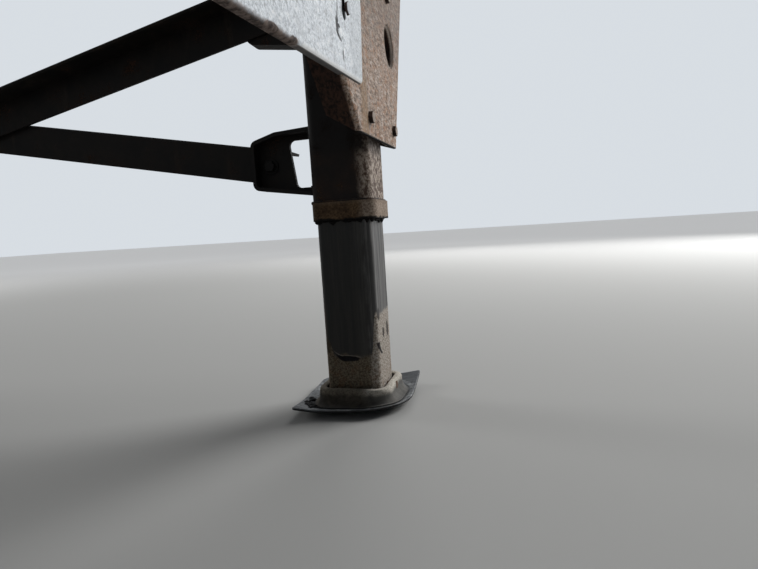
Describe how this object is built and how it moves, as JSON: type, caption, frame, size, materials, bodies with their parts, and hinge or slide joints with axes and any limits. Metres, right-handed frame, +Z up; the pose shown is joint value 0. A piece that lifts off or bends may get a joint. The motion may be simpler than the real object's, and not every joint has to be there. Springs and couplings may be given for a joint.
{
  "type": "semi trailer landing gear",
  "caption": "Trailer landing gear: square telescopic legs with rocking feet, rusted hangers, crossed braces and a cranked cross shaft.",
  "frame": {"origin": "midway between the legs, on the plane where the hangers meet the trailer cross-members", "axes": "+X across the trailer to the kerb side, +Y forward, +Z up"},
  "size_m": [2.6065, 1.1124, 1.182],
  "materials": {
    "tube_paint": "worn dark paint with rust",
    "dusty_steel": "dusty, rusty",
    "rusty_hanger": "evenly rusted pressed sheet",
    "galvanised": "weathered zinc coat",
    "brace_paint": "worn black paint",
    "greased_tube": "old grease and dust",
    "shoe_steel": "scraped, dusty",
    "worn_steel": "rusty, rubbed",
    "grip_steel": "rubbed by hands"
  },
  "bodies": {
    "frame_side": {"outer_tube_right": "tube_paint", "collar_right": "dusty_steel", "tube_cap_right": "tube_paint", "leg_flange_right": "tube_paint", "hanger_right": "rusty_hanger", "rear_gusset_right": "galvanised", "bracket_low_right": "brace_paint", "bracket_high_right": "brace_paint", "outer_tube_left": "tube_paint", "collar_left": "dusty_steel", "tube_cap_left": "tube_paint", "leg_flange_left": "tube_paint", "hanger_left": "rusty_hanger", "rear_gusset_left": "galvanised", "bracket_low_left": "brace_paint", "bracket_high_left": "brace_paint", "brace_front": "brace_paint", "brace_rear": "brace_paint", "brace_spacer": "worn_steel", "gearbox_housing": "tube_paint", "gearbox_cover": "tube_paint", "end_bearing": "tube_paint", "crank_bearing": "tube_paint"},
    "leg_right": {"inner_tube_right": "greased_tube"},
    "foot_right": {"foot_socket_right": "dusty_steel", "foot_pin_right": "worn_steel", "shoe_plate_right": "shoe_steel"},
    "leg_left": {"inner_tube_left": "greased_tube"},
    "foot_left": {"foot_socket_left": "dusty_steel", "foot_pin_left": "worn_steel", "shoe_plate_left": "shoe_steel"},
    "crank": {"input_shaft": "worn_steel", "crank_arm": "worn_steel"},
    "grip": {"crank_grip": "grip_steel"},
    "cross_drive": {"cross_shaft": "brace_paint", "drive_stub_left": "worn_steel", "drive_stub_right": "worn_steel", "shaft_sleeve_left": "brace_paint", "shaft_sleeve_right": "brace_paint"}
  },
  "joints": [
    {"name": "leg_slide_left", "type": "slide", "parent": "frame_side", "child": "leg_left", "axis": [0, 0, 1], "range_m": [-0.12, 0.3]},
    {"name": "leg_slide_right", "type": "slide", "parent": "frame_side", "child": "leg_right", "axis": [0, 0, 1], "range_m": [-0.12, 0.3]},
    {"name": "foot_rock_left", "type": "hinge", "parent": "leg_left", "child": "foot_left", "pos_m": [-1, 0, -1.142], "axis": [1, 0, 0], "range_deg": [-6, 6]},
    {"name": "foot_rock_right", "type": "hinge", "parent": "leg_right", "child": "foot_right", "pos_m": [1, 0, -1.142], "axis": [1, 0, 0], "range_deg": [-6, 6]},
    {"name": "crank_spin", "type": "hinge", "parent": "frame_side", "child": "crank", "pos_m": [-1.2, 0, -0.142], "axis": [1, 0, 0], "continuous": true},
    {"name": "grip_spin", "type": "hinge", "parent": "crank", "child": "grip", "pos_m": [-1.4125, 0, -0.472], "axis": [1, 0, 0], "continuous": true},
    {"name": "cross_shaft_spin", "type": "hinge", "parent": "frame_side", "child": "cross_drive", "pos_m": [0, 0, -0.142], "axis": [1, 0, 0], "continuous": true}
  ],
  "couplings": [
    {"joint": "leg_slide_right", "follows": "leg_slide_left", "ratio": 1},
    {"joint": "cross_shaft_spin", "follows": "crank_spin", "ratio": 1}
  ]
}
